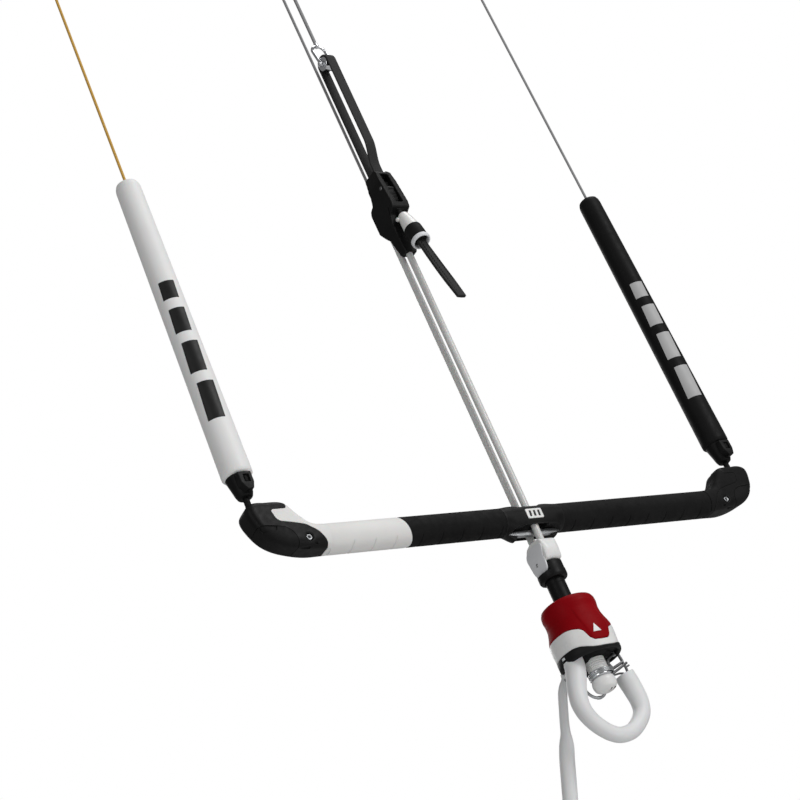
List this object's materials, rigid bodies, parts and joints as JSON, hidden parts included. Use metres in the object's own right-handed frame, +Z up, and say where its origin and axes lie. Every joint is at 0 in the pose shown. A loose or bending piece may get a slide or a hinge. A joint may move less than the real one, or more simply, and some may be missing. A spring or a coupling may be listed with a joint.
{
  "type": "kite control bar",
  "caption": "Control bar of a kitesurf kite with foam floats on its steering lines, depower tubes with a trim cleat, and a swivelling quick release with a hook loop.",
  "frame": {"origin": "at the kite end, midway between the tops of the two centre line loops; the bar's axis is 700 mm below it", "axes": "+Z up the lines towards the kite, +X along the bar to the rider's right in the picture, -Y the front of the picture"},
  "size_m": [0.5496, 0.1029, 0.9581],
  "materials": {
    "grey_line": "braided, matt",
    "yellow_line": "braided, matt",
    "black_webbing": "woven, matt",
    "chrome": "polished",
    "steel": "satin",
    "alloy": "anodised satin",
    "black_nylon": "fine grained satin",
    "black_rubber": "soft matt",
    "black_foam": "moulded foam, ribbed",
    "white_foam": "moulded foam, ribbed",
    "white_float": "closed cell foam, smooth skin",
    "black_float": "closed cell foam, smooth skin",
    "white_plastic": "satin moulded",
    "grey_plastic": "satin moulded",
    "red_plastic": "soft satin",
    "clear_tube": "milky polyurethane",
    "white_pu": "smooth satin polyurethane"
  },
  "bodies": {
    "kite_lines": {"front_line": "grey_line", "safety_line": "grey_line", "trim_shackle": "chrome", "shackle_roller": "chrome", "trim_strap": "black_webbing"},
    "mainline": {"cleat_body": "black_nylon", "cleat_pin": "steel", "front_tube": "clear_tube", "rear_tube": "clear_tube", "load_line": "grey_line", "swivel_housing": "white_plastic", "swivel_plates": "grey_plastic", "housing_screw": "steel", "swivel_body": "black_nylon"},
    "cleat_cam": {"cleat_cam": "black_nylon"},
    "trim_tail": {"trim_cord": "black_webbing", "tail_cone": "white_plastic", "tail_sleeve": "black_nylon", "tail_ring": "grey_plastic", "tail_tab": "black_webbing"},
    "slider": {"slider_barrel": "black_nylon"},
    "bar": {"centre_hub": "black_nylon", "wear_bar": "steel", "hub_badge": "white_plastic", "left_core_tube": "alloy", "right_core_tube": "alloy", "left_black_grip": "black_foam", "left_white_grip": "white_foam", "right_black_grip": "black_foam", "left_end_shell": "black_nylon", "left_end_cover": "black_rubber", "left_end_saddle": "white_foam", "right_end_shell": "black_nylon", "right_end_cover": "black_rubber", "right_end_saddle": "black_foam", "end_screws": "steel"},
    "left_line": {"left_leader": "black_rubber", "left_plug": "black_nylon", "left_float": "white_float", "left_steering_line": "yellow_line"},
    "right_line": {"right_leader": "black_rubber", "right_plug": "black_nylon", "right_float": "black_float", "right_steering_line": "grey_line"},
    "quick_release": {"swivel_shaft": "black_nylon", "release_base": "black_nylon", "finger_hinge_pin": "steel", "leash_stub": "white_plastic", "stub_washer": "chrome", "stub_cap": "white_plastic", "release_spring": "steel"},
    "release_handle": {"release_sleeve": "red_plastic", "sleeve_ring": "white_plastic", "release_collar": "white_plastic", "latch_pins": "steel"},
    "chicken_loop": {"chicken_loop": "white_pu", "loop_spindle": "steel", "loop_bail": "steel"},
    "finger": {"finger": "white_pu"},
    "leash_ring": {"leash_ring": "steel"}
  },
  "joints": [
    {"name": "trim_slide", "type": "slide", "parent": "kite_lines", "child": "mainline", "axis": [0, 0, 1], "range_m": [0, 0.12], "deforming": ["trim_strap"]},
    {"name": "trim_pull", "type": "slide", "parent": "mainline", "child": "trim_tail", "axis": [0, -0.213, -0.977], "range_m": [0, 0.25]},
    {"name": "cam_pivot", "type": "hinge", "parent": "mainline", "child": "cleat_cam", "pos_m": [0, -0.0184, -0.347], "axis": [-1, 0, 0], "range_deg": [0, 25], "stiffness_Nm_per_rad": 0.02},
    {"name": "bar_throw", "type": "slide", "parent": "mainline", "child": "slider", "axis": [0, 0, 1], "range_m": [0, 0.25]},
    {"name": "bar_steer", "type": "hinge", "parent": "slider", "child": "bar", "pos_m": [0, 0, -0.7], "axis": [0, 1, 0], "range_deg": [-25, 25], "stiffness_Nm_per_rad": 6},
    {"name": "left_line_pivot", "type": "hinge", "parent": "bar", "child": "left_line", "pos_m": [-0.26, 0, -0.673], "axis": [0, 1, 0], "range_deg": [-25.5, 25.5]},
    {"name": "right_line_pivot", "type": "hinge", "parent": "bar", "child": "right_line", "pos_m": [0.26, 0, -0.673], "axis": [0, 1, 0], "range_deg": [-25.5, 25.5]},
    {"name": "swivel", "type": "hinge", "parent": "mainline", "child": "quick_release", "pos_m": [0, 0, -0.758], "axis": [0, 0, 1], "continuous": true},
    {"name": "loop_open", "type": "hinge", "parent": "quick_release", "child": "chicken_loop", "pos_m": [-0.018, 0, -0.829], "axis": [0, 0, -1], "range_deg": [0, 90]},
    {"name": "release_push", "type": "slide", "parent": "quick_release", "child": "release_handle", "axis": [0, 0, 1], "range_m": [0, 0.018], "stiffness_N_per_m": 300, "springref_m": -0.008, "deforming": ["release_spring"]},
    {"name": "finger_swing", "type": "hinge", "parent": "quick_release", "child": "finger", "pos_m": [-0.0148, 0.0176, -0.841], "axis": [1, 0, 0], "range_deg": [0, 40]},
    {"name": "leash_ring_swing", "type": "hinge", "parent": "quick_release", "child": "leash_ring", "pos_m": [0.0032, 0.013, -0.8402], "axis": [1, 0, 0], "range_deg": [0, 85]}
  ],
  "couplings": [
    {"joint": "trim_pull", "follows": "trim_slide", "ratio": 2},
    {"joint": "left_line_pivot", "follows": "bar_steer", "ratio": -1},
    {"joint": "right_line_pivot", "follows": "bar_steer", "ratio": -1},
    {"joint": "release_push", "follows": "loop_open", "m_per_rad": 0.01145}
  ]
}
